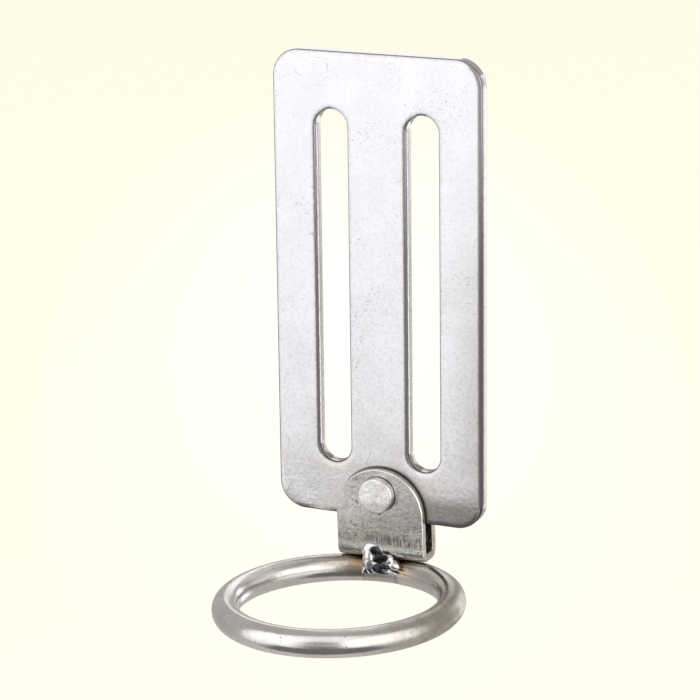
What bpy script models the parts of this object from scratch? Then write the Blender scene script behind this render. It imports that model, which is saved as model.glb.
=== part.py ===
"""Swivel tool ring in metres, +Z up, front face towards -Y.

A punched belt plate carries a folded bracket on one rivet, and the tool ring is
welded under the bracket's fold, so that it swings from side to side.
"""

import math

import bmesh
import bpy
from mathutils import Vector

MM = 0.001

# Belt plate: punched sheet, threaded on a webbing belt
BELT_WIDTH = 50.0 * MM
BELT_SIDE_PLAY = 1.0 * MM
CENTRE_BAR_WIDTH = 9.0 * MM
SLOT_WIDTH = 5.0 * MM
SIDE_BAND_WIDTH = 6.5 * MM
TOP_BAND_HEIGHT = 8.25 * MM
FOOT_BAND_HEIGHT = 7.75 * MM
PLATE_THICKNESS = 2.0 * MM
PLATE_CORNER_RADIUS = 4.0 * MM
PUNCH_ROLL_WIDTH = 0.9 * MM
PUNCH_ROLL_DEPTH = 0.5 * MM
BURR_BREAK = 0.12 * MM

# Rivet: the pin that the bracket turns on
RIVET_DIAMETER = 4.0 * MM
RIVET_RIGHT_OF_MIDDLE = 0.4 * MM
PLATE_WALL_UNDER_RIVET = 2.0 * MM
RIVET_HEAD_OVERHANG = 0.6 * MM
RIVET_HEAD_HEIGHT = 1.2 * MM
RIVET_HEAD_ROUNDING = 0.2 * MM
RIVET_TAIL_OVERHANG = 0.9 * MM
RIVET_TAIL_HEIGHT = 0.8 * MM
RIVET_TAIL_ROUNDING = 0.5 * MM

# Bracket: a strip folded round the plate's lower edge
STRIP_WIDTH = 13.6 * MM
STRIP_THICKNESS = 1.2 * MM
LEAF_WALL_OVER_RIVET = 1.55 * MM
ROOM_UNDER_PLATE = 4.7 * MM
FOLD_INNER_RADIUS = 0.3 * MM
STRIP_EDGE_ROUNDING = 0.12 * MM

# Tool ring: round bar bent to a circle, welded under the fold
RING_OUTER_DIAMETER = 36.0 * MM
RING_BAR = 4.0 * MM
RING_AHEAD_OF_PLATE = 0.1 * MM
RING_TO_SIDE = -0.4 * MM
RING_END_GAP = 5.7 * MM

# Weld: one nugget that closes the ring and climbs onto the front leaf
WELD_FOOT_HALF_WIDTH = 2.9 * MM
WELD_TOP_HALF_WIDTH = 1.7 * MM
WELD_FOOT_TO_SIDE = 0.4 * MM
WELD_TOP_TO_SIDE = -1.2 * MM
WELD_FOOT_ABOVE_BAR_MIDDLE = 0.35 * MM
WELD_TOP_ABOVE_FOLD = 2.55 * MM
WELD_PROUD_OF_BAR = 0.5 * MM
WELD_PROUD_OF_LEAF = 1.0 * MM
WELD_THROAT = 1.1 * MM
WELD_STEP_LENGTH = 0.75 * MM

# Fits between the pieces
SWIVEL_CLEARANCE = 0.15 * MM
RIVET_CLEARANCE = 0.1 * MM
SEAT_GAP = 0.1 * MM

# How the swivel hangs at rest, positive towards +X
REST_ANGLE = math.radians(1.6)

# How finely round shapes are divided
CORNER_STEPS = 8
SLOT_END_STEPS = 16
BEND_STEPS = 8
LEAF_STEPS = 24
HOLE_SIDES = 40
RIM_STEPS = 4
ROLL_STEPS = 4
EASE_SEGMENTS = 2
RING_STEPS = 96
BAR_RESOLUTION = 8
WELD_CORE_STEPS = 4
PUDDLE_SUBDIVISIONS = 3

# Working limits: how far cutters reach past what they cut, what counts as one point,
# a flat face, an edge to ease or a smooth bend, and how much of its room a round may fill
CUTTER_MARGIN = 2.0 * MM
SAME_POINT = 0.001 * MM
FLAT_WITHIN = math.radians(25)
EASED_ANGLE = math.radians(50)
SMOOTH_ANGLE = math.radians(35)
FULLEST_ROUND = 0.95

# Finishes: colour and roughness
PLATE_FINISH = ((0.60, 0.59, 0.57, 1.0), 0.28)
BRACKET_FINISH = ((0.50, 0.49, 0.46, 1.0), 0.42)
RIVET_FINISH = ((0.64, 0.63, 0.61, 1.0), 0.32)
RING_FINISH = ((0.60, 0.59, 0.57, 1.0), 0.22)
WELD_FINISH = ((0.66, 0.66, 0.66, 1.0), 0.15)

UPRIGHT = (math.radians(90), 0.0, 0.0)
UPRIGHT_SIDEWAYS = (math.radians(90), 0.0, math.radians(90))


def clear_scene():
    for obj in list(bpy.data.objects):
        bpy.data.objects.remove(obj, do_unlink=True)


def new_collection(name):
    collection = bpy.data.collections.new(name)
    bpy.context.scene.collection.children.link(collection)
    return collection


def steel_material(name, finish):
    colour, roughness = finish
    material = bpy.data.materials.new(name)
    material.use_nodes = True
    shader = material.node_tree.nodes["Principled BSDF"]
    shader.inputs["Base Color"].default_value = colour
    shader.inputs["Metallic"].default_value = 1.0
    shader.inputs["Roughness"].default_value = roughness
    material.diffuse_color = colour
    return material


# Outlines, as lists of 2D points


def arc(centre, radius, start, end, steps):
    """Points on an arc, angles in degrees, both ends included."""
    points = []
    for step in range(steps + 1):
        angle = math.radians(start + (end - start) * step / steps)
        points.append((centre[0] + radius * math.cos(angle), centre[1] + radius * math.sin(angle)))
    return points


def rounded_rectangle(width, bottom, top, radius):
    x = width / 2 - radius
    points = arc((x, top - radius), radius, 0, 90, CORNER_STEPS)
    points += arc((-x, top - radius), radius, 90, 180, CORNER_STEPS)
    points += arc((-x, bottom + radius), radius, 180, 270, CORNER_STEPS)
    points += arc((x, bottom + radius), radius, 270, 360, CORNER_STEPS)
    return points


def slot_outline(centre_x, width, length):
    reach = (length - width) / 2
    points = arc((centre_x, reach), width / 2, 0, 180, SLOT_END_STEPS)
    points += arc((centre_x, -reach), width / 2, 180, 360, SLOT_END_STEPS)
    return points


def fold_outside(offset):
    """The outside of the folded strip seen from its side, grown all round by offset."""
    outer = fold_half_depth() + offset
    bend = inner_bend() + STRIP_THICKNESS + offset
    side, height = bend_centre()
    top = leaf_top() + CUTTER_MARGIN
    points = [(-outer, top)]
    points += arc((-side, height), bend, 180, 270, BEND_STEPS)
    points += arc((side, height), bend, 270, 360, BEND_STEPS)
    points += [(outer, top)]
    return points


def fold_section():
    """The folded strip seen from its side: two leaves, a floor and two bends."""
    inner = fold_half_gap()
    side, height = bend_centre()
    top = leaf_top() + CUTTER_MARGIN
    points = fold_outside(0.0)
    points += [(inner, top)]
    points += arc((side, height), inner_bend(), 0, -90, BEND_STEPS)
    points += arc((-side, height), inner_bend(), -90, -180, BEND_STEPS)
    points += [(-inner, top)]
    return points


def leaf_outline():
    """The folded strip seen from the front: straight sides and round tops."""
    radius = STRIP_WIDTH / 2
    points = arc((0.0, leaf_top() - radius), radius, 0, 180, LEAF_STEPS)
    bottom = -fold_below_rivet() - CUTTER_MARGIN
    points += [(-radius, bottom), (radius, bottom)]
    return points


# Sizes that follow from the driving ones, the swivel's own counted from the rivet


def slot_length():
    return BELT_WIDTH + 2 * BELT_SIDE_PLAY


def slot_offset():
    return (CENTRE_BAR_WIDTH + SLOT_WIDTH) / 2


def plate_width():
    return CENTRE_BAR_WIDTH + 2 * SLOT_WIDTH + 2 * SIDE_BAND_WIDTH


def plate_bottom():
    return -slot_length() / 2 - FOOT_BAND_HEIGHT


def plate_top():
    return slot_length() / 2 + TOP_BAND_HEIGHT


def hole_radius():
    return RIVET_DIAMETER / 2 + RIVET_CLEARANCE


def rivet_above_edge():
    return hole_radius() + PLATE_WALL_UNDER_RIVET


def rivet_place():
    return Vector((RIVET_RIGHT_OF_MIDDLE, 0.0, plate_bottom() + rivet_above_edge()))


def leaf_top():
    return hole_radius() + LEAF_WALL_OVER_RIVET


def fold_half_gap():
    return PLATE_THICKNESS / 2 + SWIVEL_CLEARANCE


def fold_half_depth():
    return fold_half_gap() + STRIP_THICKNESS


def fold_below_rivet():
    return rivet_above_edge() + ROOM_UNDER_PLATE + STRIP_THICKNESS


def inner_bend():
    return min(FOLD_INNER_RADIUS, fold_half_gap() * FULLEST_ROUND)


def bend_centre():
    """Centre of the rear bend as (y, z) from the rivet; the front one mirrors it."""
    outer_bend = inner_bend() + STRIP_THICKNESS
    return fold_half_depth() - outer_bend, outer_bend - fold_below_rivet()


def ring_radius():
    return (RING_OUTER_DIAMETER - RING_BAR) / 2


def bar_centre():
    """The ring bar's centre where it passes under the fold, as (y, z) from the rivet."""
    side, height = bend_centre()
    reach = inner_bend() + STRIP_THICKNESS + SEAT_GAP + RING_BAR / 2
    past_bend = max(RING_AHEAD_OF_PLATE - side, 0.0)
    return -RING_AHEAD_OF_PLATE, height - math.sqrt(reach**2 - past_bend**2)


# Building blocks


def add_spline(curve, points, closed):
    spline = curve.splines.new("POLY")
    spline.points.add(len(points) - 1)
    for target, point in zip(spline.points, points):
        target.co = (*point, 1.0)
    spline.use_cyclic_u = closed


def curve_object(name, dimensions, collection):
    curve = bpy.data.curves.new(name, "CURVE")
    curve.dimensions = dimensions
    obj = bpy.data.objects.new(name, curve)
    collection.objects.link(obj)
    return obj


def flat_outline(name, outlines, half_thickness, collection):
    """A flat plate in its own XY plane, with any further outlines cut out of the first."""
    obj = curve_object(name, "2D", collection)
    for outline in outlines:
        add_spline(obj.data, [(x, y, 0.0) for x, y in outline], True)
    obj.data.fill_mode = "BOTH"
    obj.data.extrude = half_thickness
    return obj


def bar_along(name, points, radius, collection):
    obj = curve_object(name, "3D", collection)
    add_spline(obj.data, points, False)
    obj.data.bevel_depth = radius
    obj.data.bevel_resolution = BAR_RESOLUTION
    obj.data.use_fill_caps = True
    return obj


def as_mesh(curve):
    """The curve made a closed mesh object in the same place, under the same parent."""
    bpy.context.view_layer.update()
    evaluated = curve.evaluated_get(bpy.context.evaluated_depsgraph_get())
    mesh = bpy.data.meshes.new_from_object(evaluated)
    shape = bmesh.new()
    shape.from_mesh(mesh)
    bmesh.ops.remove_doubles(shape, verts=shape.verts, dist=SAME_POINT)
    bmesh.ops.recalc_face_normals(shape, faces=shape.faces)
    shape.to_mesh(mesh)
    shape.free()
    name = curve.name
    collection = curve.users_collection[0]
    place = curve.matrix_world.copy()
    parent = curve.parent
    bpy.data.objects.remove(curve, do_unlink=True)
    mesh.name = name
    obj = bpy.data.objects.new(name, mesh)
    collection.objects.link(obj)
    obj.parent = parent
    obj.matrix_world = place
    return obj


def round_rim(obj, side, width, depth, steps):
    """Rounds the rim of the flat face on one side of a plate, as a quarter ellipse raised from its edge."""
    shape = bmesh.new()
    shape.from_mesh(obj.data)
    flat = [face for face in shape.faces if face.normal.z * side > math.cos(FLAT_WITHIN)]
    done_width = 0.0
    done_depth = 0.0
    for step in range(1, steps + 1):
        angle = math.pi / 2 * step / steps
        to_width = width * (1.0 - math.cos(angle))
        to_depth = depth * math.sin(angle)
        bmesh.ops.inset_region(shape, faces=flat, use_even_offset=True, thickness=to_width - done_width)
        verts = list({vert for face in flat for vert in face.verts})
        bmesh.ops.translate(shape, vec=(0.0, 0.0, side * (to_depth - done_depth)), verts=verts)
        flat = fill_again(shape, flat, side)
        done_width = to_width
        done_depth = to_depth
    shape.to_mesh(obj.data)
    shape.free()


def fill_again(shape, flat, side):
    """Replaces the triangles of a flat face with fresh ones, since those of a shrunk face may cross."""
    bmesh.ops.delete(shape, geom=flat, context="FACES")
    rim = [edge for edge in shape.edges if edge.is_boundary]
    filled = bmesh.ops.triangle_fill(shape, edges=rim, use_beauty=True, normal=(0.0, 0.0, side))
    return [item for item in filled["geom"] if isinstance(item, bmesh.types.BMFace)]


def turned(name, profile, sides, collection):
    """A profile of (radius, height) points, top to bottom, turned about its own Z axis."""
    mesh = bpy.data.meshes.new(name)
    mesh.from_pydata(
        [(radius, 0.0, height) for radius, height in profile],
        [(index, index + 1) for index in range(len(profile) - 1)],
        [],
    )
    obj = bpy.data.objects.new(name, mesh)
    collection.objects.link(obj)
    screw = obj.modifiers.new("Turn", "SCREW")
    screw.axis = "Z"
    screw.steps = sides
    screw.render_steps = sides
    screw.use_merge_vertices = True
    screw.merge_threshold = SAME_POINT
    return obj


def cutter(obj):
    obj.hide_render = True
    obj.display_type = "WIRE"
    return obj


def combine(obj, other, operation):
    modifier = obj.modifiers.new(operation.title(), "BOOLEAN")
    modifier.operation = operation
    modifier.solver = "EXACT"
    modifier.object = other


def finish_part(obj, finish):
    obj.data.materials.clear()
    obj.data.materials.append(steel_material(obj.name, finish))
    if obj.type == "MESH":
        obj.data.shade_smooth()
        obj.data.set_sharp_from_angle(angle=SMOOTH_ANGLE)


# Sub-parts


def rivet_hole_cutter(name, reach, cutters, parent):
    """A cylinder along Y for the rivet to pass through, clear of it by the rivet's clearance."""
    mesh = bpy.data.meshes.new(name)
    shape = bmesh.new()
    radius = hole_radius()
    bmesh.ops.create_cone(
        shape, cap_ends=True, segments=HOLE_SIDES, radius1=radius, radius2=radius, depth=2 * reach
    )
    shape.to_mesh(mesh)
    shape.free()
    obj = bpy.data.objects.new(name, mesh)
    cutters.objects.link(obj)
    obj.parent = parent
    obj.rotation_euler = UPRIGHT
    return cutter(obj)


def build_plate(parts, cutters, pivot):
    """Rounded plate with two belt slots, its front rims rolled over by the punch, and the rivet's hole."""
    outlines = [rounded_rectangle(plate_width(), plate_bottom(), plate_top(), PLATE_CORNER_RADIUS)]
    for side in (-1, 1):
        outlines.append(slot_outline(side * slot_offset(), SLOT_WIDTH, slot_length()))
    half_wall = (PLATE_THICKNESS - PUNCH_ROLL_DEPTH - BURR_BREAK) / 2
    curve = flat_outline("belt_plate", outlines, half_wall, parts)
    curve.rotation_euler = UPRIGHT
    curve.location.y = (PUNCH_ROLL_DEPTH - BURR_BREAK) / 2
    plate = as_mesh(curve)
    round_rim(plate, 1, PUNCH_ROLL_WIDTH, PUNCH_ROLL_DEPTH, ROLL_STEPS)
    round_rim(plate, -1, BURR_BREAK, BURR_BREAK, 1)
    hole = rivet_hole_cutter("plate_hole_cutter", PLATE_THICKNESS, cutters, pivot)
    combine(plate, hole, "DIFFERENCE")
    finish_part(plate, PLATE_FINISH)


def across_strip(name, section, width, collection, pivot):
    """A side view of the strip drawn out across the strip's width."""
    curve = flat_outline(name, [section], width / 2, collection)
    curve.rotation_euler = UPRIGHT_SIDEWAYS
    curve.parent = pivot
    return as_mesh(curve)


def build_bracket(parts, cutters, pivot):
    """Folded strip trimmed to its outline, drilled for the rivet, with its cut edges eased."""
    bracket = across_strip("swivel_bracket", fold_section(), STRIP_WIDTH + CUTTER_MARGIN, parts, pivot)
    trim = flat_outline("leaf_trim", [leaf_outline()], 2 * fold_half_depth(), cutters)
    trim.rotation_euler = UPRIGHT
    trim.parent = pivot
    combine(bracket, cutter(as_mesh(trim)), "INTERSECT")
    hole = rivet_hole_cutter("bracket_hole_cutter", 2 * fold_half_depth(), cutters, pivot)
    combine(bracket, hole, "DIFFERENCE")
    ease = bracket.modifiers.new("Ease", "BEVEL")
    ease.width = STRIP_EDGE_ROUNDING
    ease.segments = EASE_SEGMENTS
    ease.limit_method = "ANGLE"
    ease.angle_limit = EASED_ANGLE
    finish_part(bracket, BRACKET_FINISH)


def rivet_head_profile(radius, base, height, rounding, up):
    """Half of a low flat head from its rim's foot to its middle, heights measured along up."""
    rounding = min(rounding, height * FULLEST_ROUND)
    rim = arc((radius - rounding, height - rounding), rounding, 0, 90, RIM_STEPS)
    return [(x, base + up * z) for x, z in [(radius, 0.0), *rim, (0.0, height)]]


def build_rivet(parts, pivot):
    """Shank through both leaves and the plate, a low round head in front and a formed tail behind."""
    seat = fold_half_depth() + SEAT_GAP
    shank = RIVET_DIAMETER / 2
    head_radius = shank + RIVET_HEAD_OVERHANG
    tail_radius = shank + RIVET_TAIL_OVERHANG
    head = rivet_head_profile(head_radius, seat, RIVET_HEAD_HEIGHT, RIVET_HEAD_ROUNDING, 1)
    tail = rivet_head_profile(tail_radius, -seat, RIVET_TAIL_HEIGHT, RIVET_TAIL_ROUNDING, -1)
    profile = head[::-1] + [(shank, seat), (shank, -seat)] + tail
    rivet = turned("swivel_rivet", profile, HOLE_SIDES, parts)
    rivet.parent = pivot
    rivet.rotation_euler = UPRIGHT
    finish_part(rivet, RIVET_FINISH)


def ring_arc(start, end, steps):
    """Points along the ring's centre line, angles in degrees from the point under the fold."""
    back_y, height = bar_centre()
    radius = ring_radius()
    points = []
    for step in range(steps + 1):
        angle = math.radians(start + (end - start) * step / steps)
        across = RING_TO_SIDE + radius * math.sin(angle)
        points.append((across, back_y - radius * (1.0 - math.cos(angle)), height))
    return points


def ring_end_angle(gap):
    return math.degrees(math.asin(gap / 2 / ring_radius()))


def build_ring(parts, pivot):
    """Round bar bent to a circle, its two ends left apart under the fold for the weld."""
    end = ring_end_angle(RING_END_GAP)
    ring = bar_along("tool_ring", ring_arc(end, 360 - end, RING_STEPS), RING_BAR / 2, parts)
    ring.parent = pivot
    finish_part(ring, RING_FINISH)


def puddle(name, centre, half_sizes, cutters, pivot):
    mesh = bpy.data.meshes.new(name)
    shape = bmesh.new()
    bmesh.ops.create_icosphere(shape, subdivisions=PUDDLE_SUBDIVISIONS, radius=1.0)
    bmesh.ops.scale(shape, vec=half_sizes, verts=shape.verts)
    bmesh.ops.translate(shape, vec=centre, verts=shape.verts)
    shape.to_mesh(mesh)
    shape.free()
    obj = bpy.data.objects.new(name, mesh)
    cutters.objects.link(obj)
    obj.parent = pivot
    return cutter(obj)


def weld_bead():
    """Middle and half width of each puddle, from the bar's front up to the front leaf."""
    bar_y, bar_z = bar_centre()
    foot_y = bar_y - RING_BAR / 2 - WELD_PROUD_OF_BAR + WELD_THROAT
    foot = Vector((RING_TO_SIDE + WELD_FOOT_TO_SIDE, foot_y, bar_z + WELD_FOOT_ABOVE_BAR_MIDDLE))
    top_y = -fold_half_depth() - WELD_PROUD_OF_LEAF + WELD_THROAT
    top_z = WELD_TOP_ABOVE_FOLD - fold_below_rivet() - WELD_THROAT
    top = Vector((WELD_TOP_TO_SIDE, top_y, top_z))
    steps = max(round((top - foot).length / WELD_STEP_LENGTH), 1)
    for step in range(steps + 1):
        share = step / steps
        widening = (WELD_FOOT_HALF_WIDTH - WELD_TOP_HALF_WIDTH) * (1.0 - share) ** 2
        yield foot.lerp(top, share), WELD_TOP_HALF_WIDTH + widening


def build_weld(parts, cutters, pivot):
    """The nugget that fills the ring's joint and overlapping puddles that climb onto the front leaf."""
    end = ring_end_angle(RING_END_GAP - 2 * SEAT_GAP)
    core = bar_along("ring_weld", ring_arc(-end, end, WELD_CORE_STEPS), RING_BAR / 2, parts)
    core.parent = pivot
    weld = as_mesh(core)
    for index, (middle, half_width) in enumerate(weld_bead()):
        sizes = (half_width, WELD_THROAT, WELD_THROAT)
        combine(weld, puddle(f"weld_puddle_{index}", middle, sizes, cutters, pivot), "UNION")
    bar_room = bar_along(
        "bar_room", ring_arc(end, 360 - end, RING_STEPS), RING_BAR / 2 + SEAT_GAP, cutters
    )
    bar_room.parent = pivot
    combine(weld, cutter(as_mesh(bar_room)), "DIFFERENCE")
    fold_room = across_strip("fold_room", fold_outside(SEAT_GAP), STRIP_WIDTH, cutters, pivot)
    combine(weld, cutter(fold_room), "DIFFERENCE")
    finish_part(weld, WELD_FINISH)


def build():
    clear_scene()
    parts = new_collection("swivel_tool_ring")
    cutters = new_collection("cutters")
    pivot = bpy.data.objects.new("swivel_pivot", None)
    parts.objects.link(pivot)
    pivot.location = rivet_place()
    pivot.rotation_euler = (0.0, -REST_ANGLE, 0.0)
    pivot.empty_display_size = RING_BAR
    build_plate(parts, cutters, pivot)
    build_bracket(parts, cutters, pivot)
    build_rivet(parts, pivot)
    build_ring(parts, pivot)
    build_weld(parts, cutters, pivot)


build()
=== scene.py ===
import math

import bmesh
import bpy
from mathutils import Matrix, Vector


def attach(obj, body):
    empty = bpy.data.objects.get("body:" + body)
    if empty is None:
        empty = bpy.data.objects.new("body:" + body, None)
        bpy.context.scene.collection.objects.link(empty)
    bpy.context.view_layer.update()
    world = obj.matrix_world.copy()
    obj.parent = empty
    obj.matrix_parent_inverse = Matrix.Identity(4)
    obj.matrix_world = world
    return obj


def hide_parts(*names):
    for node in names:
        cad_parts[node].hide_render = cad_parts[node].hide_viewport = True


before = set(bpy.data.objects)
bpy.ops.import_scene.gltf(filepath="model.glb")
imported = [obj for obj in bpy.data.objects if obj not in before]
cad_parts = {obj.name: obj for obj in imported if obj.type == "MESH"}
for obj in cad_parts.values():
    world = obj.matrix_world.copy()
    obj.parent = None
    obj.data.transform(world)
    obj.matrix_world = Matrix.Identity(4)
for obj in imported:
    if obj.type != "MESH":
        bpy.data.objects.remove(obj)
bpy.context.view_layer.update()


# The studio. The holder hangs as it does on a belt, over a pale floor, in a grey room. Two soft boxes
# stand left and right of the camera and a dimmer one hangs over it. Dark cards under the lens and
# white cards behind the holder are seen only in the metal, as its dark lines and its bright walls.
MM = 0.001

CAMERA_PLACE = (0.173254, -0.382218, 0.108087)
CAMERA_TURN = math.radians(24.99)
CAMERA_TILT = math.radians(15.545)
CAMERA_ROLL = math.radians(-0.735)
CAMERA_LENS = 156.554
CAMERA_SENSOR = 36.0
CAMERA_NEAR = 0.01

FLOOR_BELOW = 0.25
FLOOR_SIZE = 12.0
FLOOR_WHITE = "#FFFFFF"
FLOOR_CREAM = "#FCFCE9"
FLOOR_PLAIN = "#BDBBB9"
FLOOR_OWN_LIGHT = 0.4
FLOOR_SHOWN_LIGHT = 0.81
FLOOR_LIT_SHARE = 0.4
GLOW_MIDDLE = (-0.40, 0.86)
GLOW_ACROSS = 0.15
GLOW_ALONG = 0.55

ROOM_GREY = "#B9B7B5"

CARD_FOOT = -0.5
FADE_SHARE = 0.42


def linear(hex_colour):
    """The linear colour of an sRGB hex value such as #D9D6D1."""
    parts = [int(hex_colour[place:place + 2], 16) / 255 for place in (1, 3, 5)]
    return [part / 12.92 if part <= 0.04045 else ((part + 0.055) / 1.055) ** 2.4 for part in parts] + [1.0]


def add_node(tree, kind, settings=None):
    """Adds a node, sets its properties and inputs, links each input that is given another node's output,
    and returns its own outputs."""
    node = tree.nodes.new("ShaderNode" + kind)
    for name, value in (settings or {}).items():
        if isinstance(value, bpy.types.NodeSocket):
            tree.links.new(value, node.inputs[name])
        elif isinstance(name, str) and hasattr(node, name):
            setattr(node, name, value)
        else:
            node.inputs[name].default_value = value
    return node.outputs


def new_material(name):
    """An empty material and its node tree."""
    material = bpy.data.materials.new(name)
    material.use_nodes = True
    material.node_tree.nodes.clear()
    return material, material.node_tree


camera_data = bpy.data.cameras.new("camera")
camera_data.lens = CAMERA_LENS
camera_data.sensor_width = CAMERA_SENSOR
camera_data.clip_start = CAMERA_NEAR
camera = bpy.data.objects.new("camera", camera_data)
bpy.context.scene.collection.objects.link(camera)
camera.matrix_world = (
    Matrix.Translation(CAMERA_PLACE)
    @ Matrix.Rotation(CAMERA_TURN, 4, "Z")
    @ Matrix.Rotation(math.radians(90) - CAMERA_TILT, 4, "X")
    @ Matrix.Rotation(CAMERA_ROLL, 4, "Z")
)
bpy.context.scene.camera = camera
bpy.context.scene.view_settings.view_transform = "Standard"

bpy.ops.object.select_all(action="DESELECT")
bpy.ops.mesh.primitive_plane_add(size=FLOOR_SIZE, location=(0.0, 0.0, -FLOOR_BELOW))
floor = bpy.context.active_object
floor.name = "studio_floor"
# Pale paper: cream with a white glow behind the holder where the camera sees it, and plain grey where
# it lights the holder. Its own light shows to the camera and, weaker, in the metal.
paper, tree = new_material("pale_paper_floor")
place = add_node(tree, "TexCoord")["Object"]
centred = add_node(
    tree,
    "Mapping",
    {
        "vector_type": "TEXTURE",
        "Vector": place,
        "Location": (*GLOW_MIDDLE, 0.0),
        "Rotation": (0.0, 0.0, CAMERA_TURN),
        "Scale": (GLOW_ACROSS, GLOW_ALONG, 1.0),
    },
)["Vector"]
glow = add_node(tree, "TexGradient", {"gradient_type": "SPHERICAL", "Vector": centred})["Fac"]
shade = add_node(
    tree, "Mix", {"data_type": "RGBA", 0: glow, 6: linear(FLOOR_CREAM), 7: linear(FLOOR_WHITE)}
)[2]
rays = add_node(tree, "LightPath")
seen = rays["Is Camera Ray"]
shade = add_node(tree, "Mix", {"data_type": "RGBA", 0: seen, 6: linear(FLOOR_PLAIN), 7: shade})[2]
mirrored = add_node(
    tree, "Math", {"operation": "MAXIMUM", 0: rays["Is Glossy Ray"], 1: rays["Is Transmission Ray"]}
)[0]
own_light = add_node(tree, "Math", {"operation": "MULTIPLY", 0: mirrored, 1: FLOOR_OWN_LIGHT})[0]
own_light = add_node(
    tree, "Math", {"operation": "MULTIPLY_ADD", 0: seen, 1: FLOOR_SHOWN_LIGHT, 2: own_light}
)[0]
unlit = add_node(tree, "Math", {"operation": "MULTIPLY", 0: seen, 1: 1.0 - FLOOR_LIT_SHARE})[0]
lit_shade = add_node(tree, "Mix", {"data_type": "RGBA", 0: unlit, 6: shade, 7: linear("#000000")})[2]
lit = add_node(tree, "BsdfDiffuse", {"Color": lit_shade})[0]
shown = add_node(tree, "Emission", {"Color": shade, "Strength": own_light})[0]
both = add_node(tree, "AddShader", {0: lit, 1: shown})[0]
add_node(tree, "OutputMaterial", {"Surface": both})
floor.data.materials.append(paper)

world = bpy.data.worlds.new("studio_room")
bpy.context.scene.world = world
world.use_nodes = True
tree = world.node_tree
tree.nodes.clear()
seen = add_node(tree, "LightPath")["Is Camera Ray"]
backdrop = add_node(
    tree, "Mix", {"data_type": "RGBA", 0: seen, 6: linear(ROOM_GREY), 7: linear(FLOOR_CREAM)}
)[2]
sky = add_node(tree, "Background", {"Color": backdrop})[0]
add_node(tree, "OutputWorld", {"Surface": sky})


def panel(name, turn, height, distance, width, tall, bright, low, lights):
    """A panel that faces the holder, unseen by the camera. It is as bright as it says, where 1 is white,
    and falls to its low value towards its foot. A card that doesn't light is seen only in the metal."""
    turn = math.radians(turn)
    height = math.radians(height)
    flat = distance * math.cos(height)
    bpy.ops.object.select_all(action="DESELECT")
    bpy.ops.mesh.primitive_plane_add(size=1.0)
    card = bpy.context.active_object
    card.name = name
    card.location = (flat * math.sin(turn), -flat * math.cos(turn), distance * math.sin(height))
    card.rotation_euler = (math.radians(90) - height, 0.0, turn)
    card.scale = (width, tall, 1.0)
    material, tree = new_material(name)
    own_place = add_node(tree, "TexCoord")["Object"]
    upwards = add_node(tree, "SeparateXYZ", {"Vector": own_place})["Y"]
    fade = {"From Min": CARD_FOOT, "From Max": CARD_FOOT + FADE_SHARE, "To Min": low, "To Max": bright}
    glow = add_node(tree, "MapRange", {"Value": upwards, **fade})[0]
    shown = add_node(tree, "Emission", {"Strength": glow})[0]
    add_node(tree, "OutputMaterial", {"Surface": shown})
    card.data.materials.append(material)
    card.visible_camera = False
    card.visible_diffuse = lights
    card.visible_shadow = False


# Degrees from the front towards +X and upwards, then distance, width and height in metres, brightness
# above and at the foot, and whether it lights the holder.
panel("left_soft_box", -36.0, 8.0, 0.30, 0.32, 0.50, 1.36, 0.94, True)
panel("right_soft_box", 64.0, 8.0, 0.65, 0.94, 1.05, 1.75, 1.1, True)
panel("overhead_panel", 10.0, 50.0, 0.75, 0.90, 0.62, 1.1, 0.95, True)
panel("lens_card", 11.0, -32.0, 0.30, 0.165, 0.23, 0.25, 0.12, False)
panel("low_card", 10.0, -51.0, 0.22, 0.34, 0.165, 0.18, 0.18, False)
panel("white_side_card", 167.0, -12.0, 0.50, 0.22, 0.50, 1.50, 1.50, False)
panel("white_back_card", -155.0, 16.5, 0.156, 0.08, 0.066, 1.20, 1.20, False)


# The belt plate. It is punched from 2 mm stainless sheet and tumbled, so its front rims droop
# towards a small rounded corner, its walls are partly sheared smooth and partly torn, and its
# face is satin with fine pits and handling scratches.
PLATE_WIDTH = 32.0 * MM
PLATE_TOP = 34.25 * MM
PLATE_BOTTOM = -33.75 * MM
PLATE_THICKNESS = 2.0 * MM
PLATE_CORNER = 4.0 * MM
SLOT_MIDDLE = 7.0 * MM
SLOT_WIDTH = 5.0 * MM
SLOT_LENGTH = 52.0 * MM
DROOP_WIDTH = 0.5 * MM
DROOP_DEPTH = 0.13 * MM
DROOP_START = 0.32 * MM
CORNER_BREAK = 0.16 * MM
BURR_BREAK = 0.12 * MM
BORDER_SPARE = 0.4 * MM
RIVET_HOLE = 4.2 * MM
RIVET_PLACE = Vector((0.4 * MM, 0.0, -29.65 * MM))
TO_FRONT = (0, -1, 0)
TO_BACK = (0, 1, 0)
FACING_FRONT = (math.radians(90), 0.0, 0.0)
SAME_CORNER = 0.01 * MM
SAME_POINT = 0.002 * MM


def begin(name, add_primitive, **settings):
    """Adds a primitive as a new piece, at rest at the origin, and opens it in edit mode, all selected."""
    bpy.ops.object.select_all(action="DESELECT")
    add_primitive(**settings)
    piece = bpy.context.active_object
    piece.name = name
    piece.data.name = name
    bpy.ops.object.transform_apply(location=True, rotation=True, scale=True)
    bpy.ops.object.mode_set(mode="EDIT")
    bpy.ops.mesh.select_all(action="SELECT")
    return piece


def pick(kind, test):
    """Selects in edit mode only the verts, edges or faces that pass a test."""
    bpy.ops.mesh.select_mode(type={"verts": "VERT", "edges": "EDGE", "faces": "FACE"}[kind])
    bpy.ops.mesh.select_all(action="DESELECT")
    mesh = bpy.context.edit_object.data
    shape = bmesh.from_edit_mesh(mesh)
    shape.normal_update()
    for item in getattr(shape, kind):
        if test(item):
            item.select_set(True)
    bmesh.update_edit_mesh(mesh)


def faces_way(face, way):
    """True for a face that looks straight one way."""
    return face.normal.dot(Vector(way)) > 0.99


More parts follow.
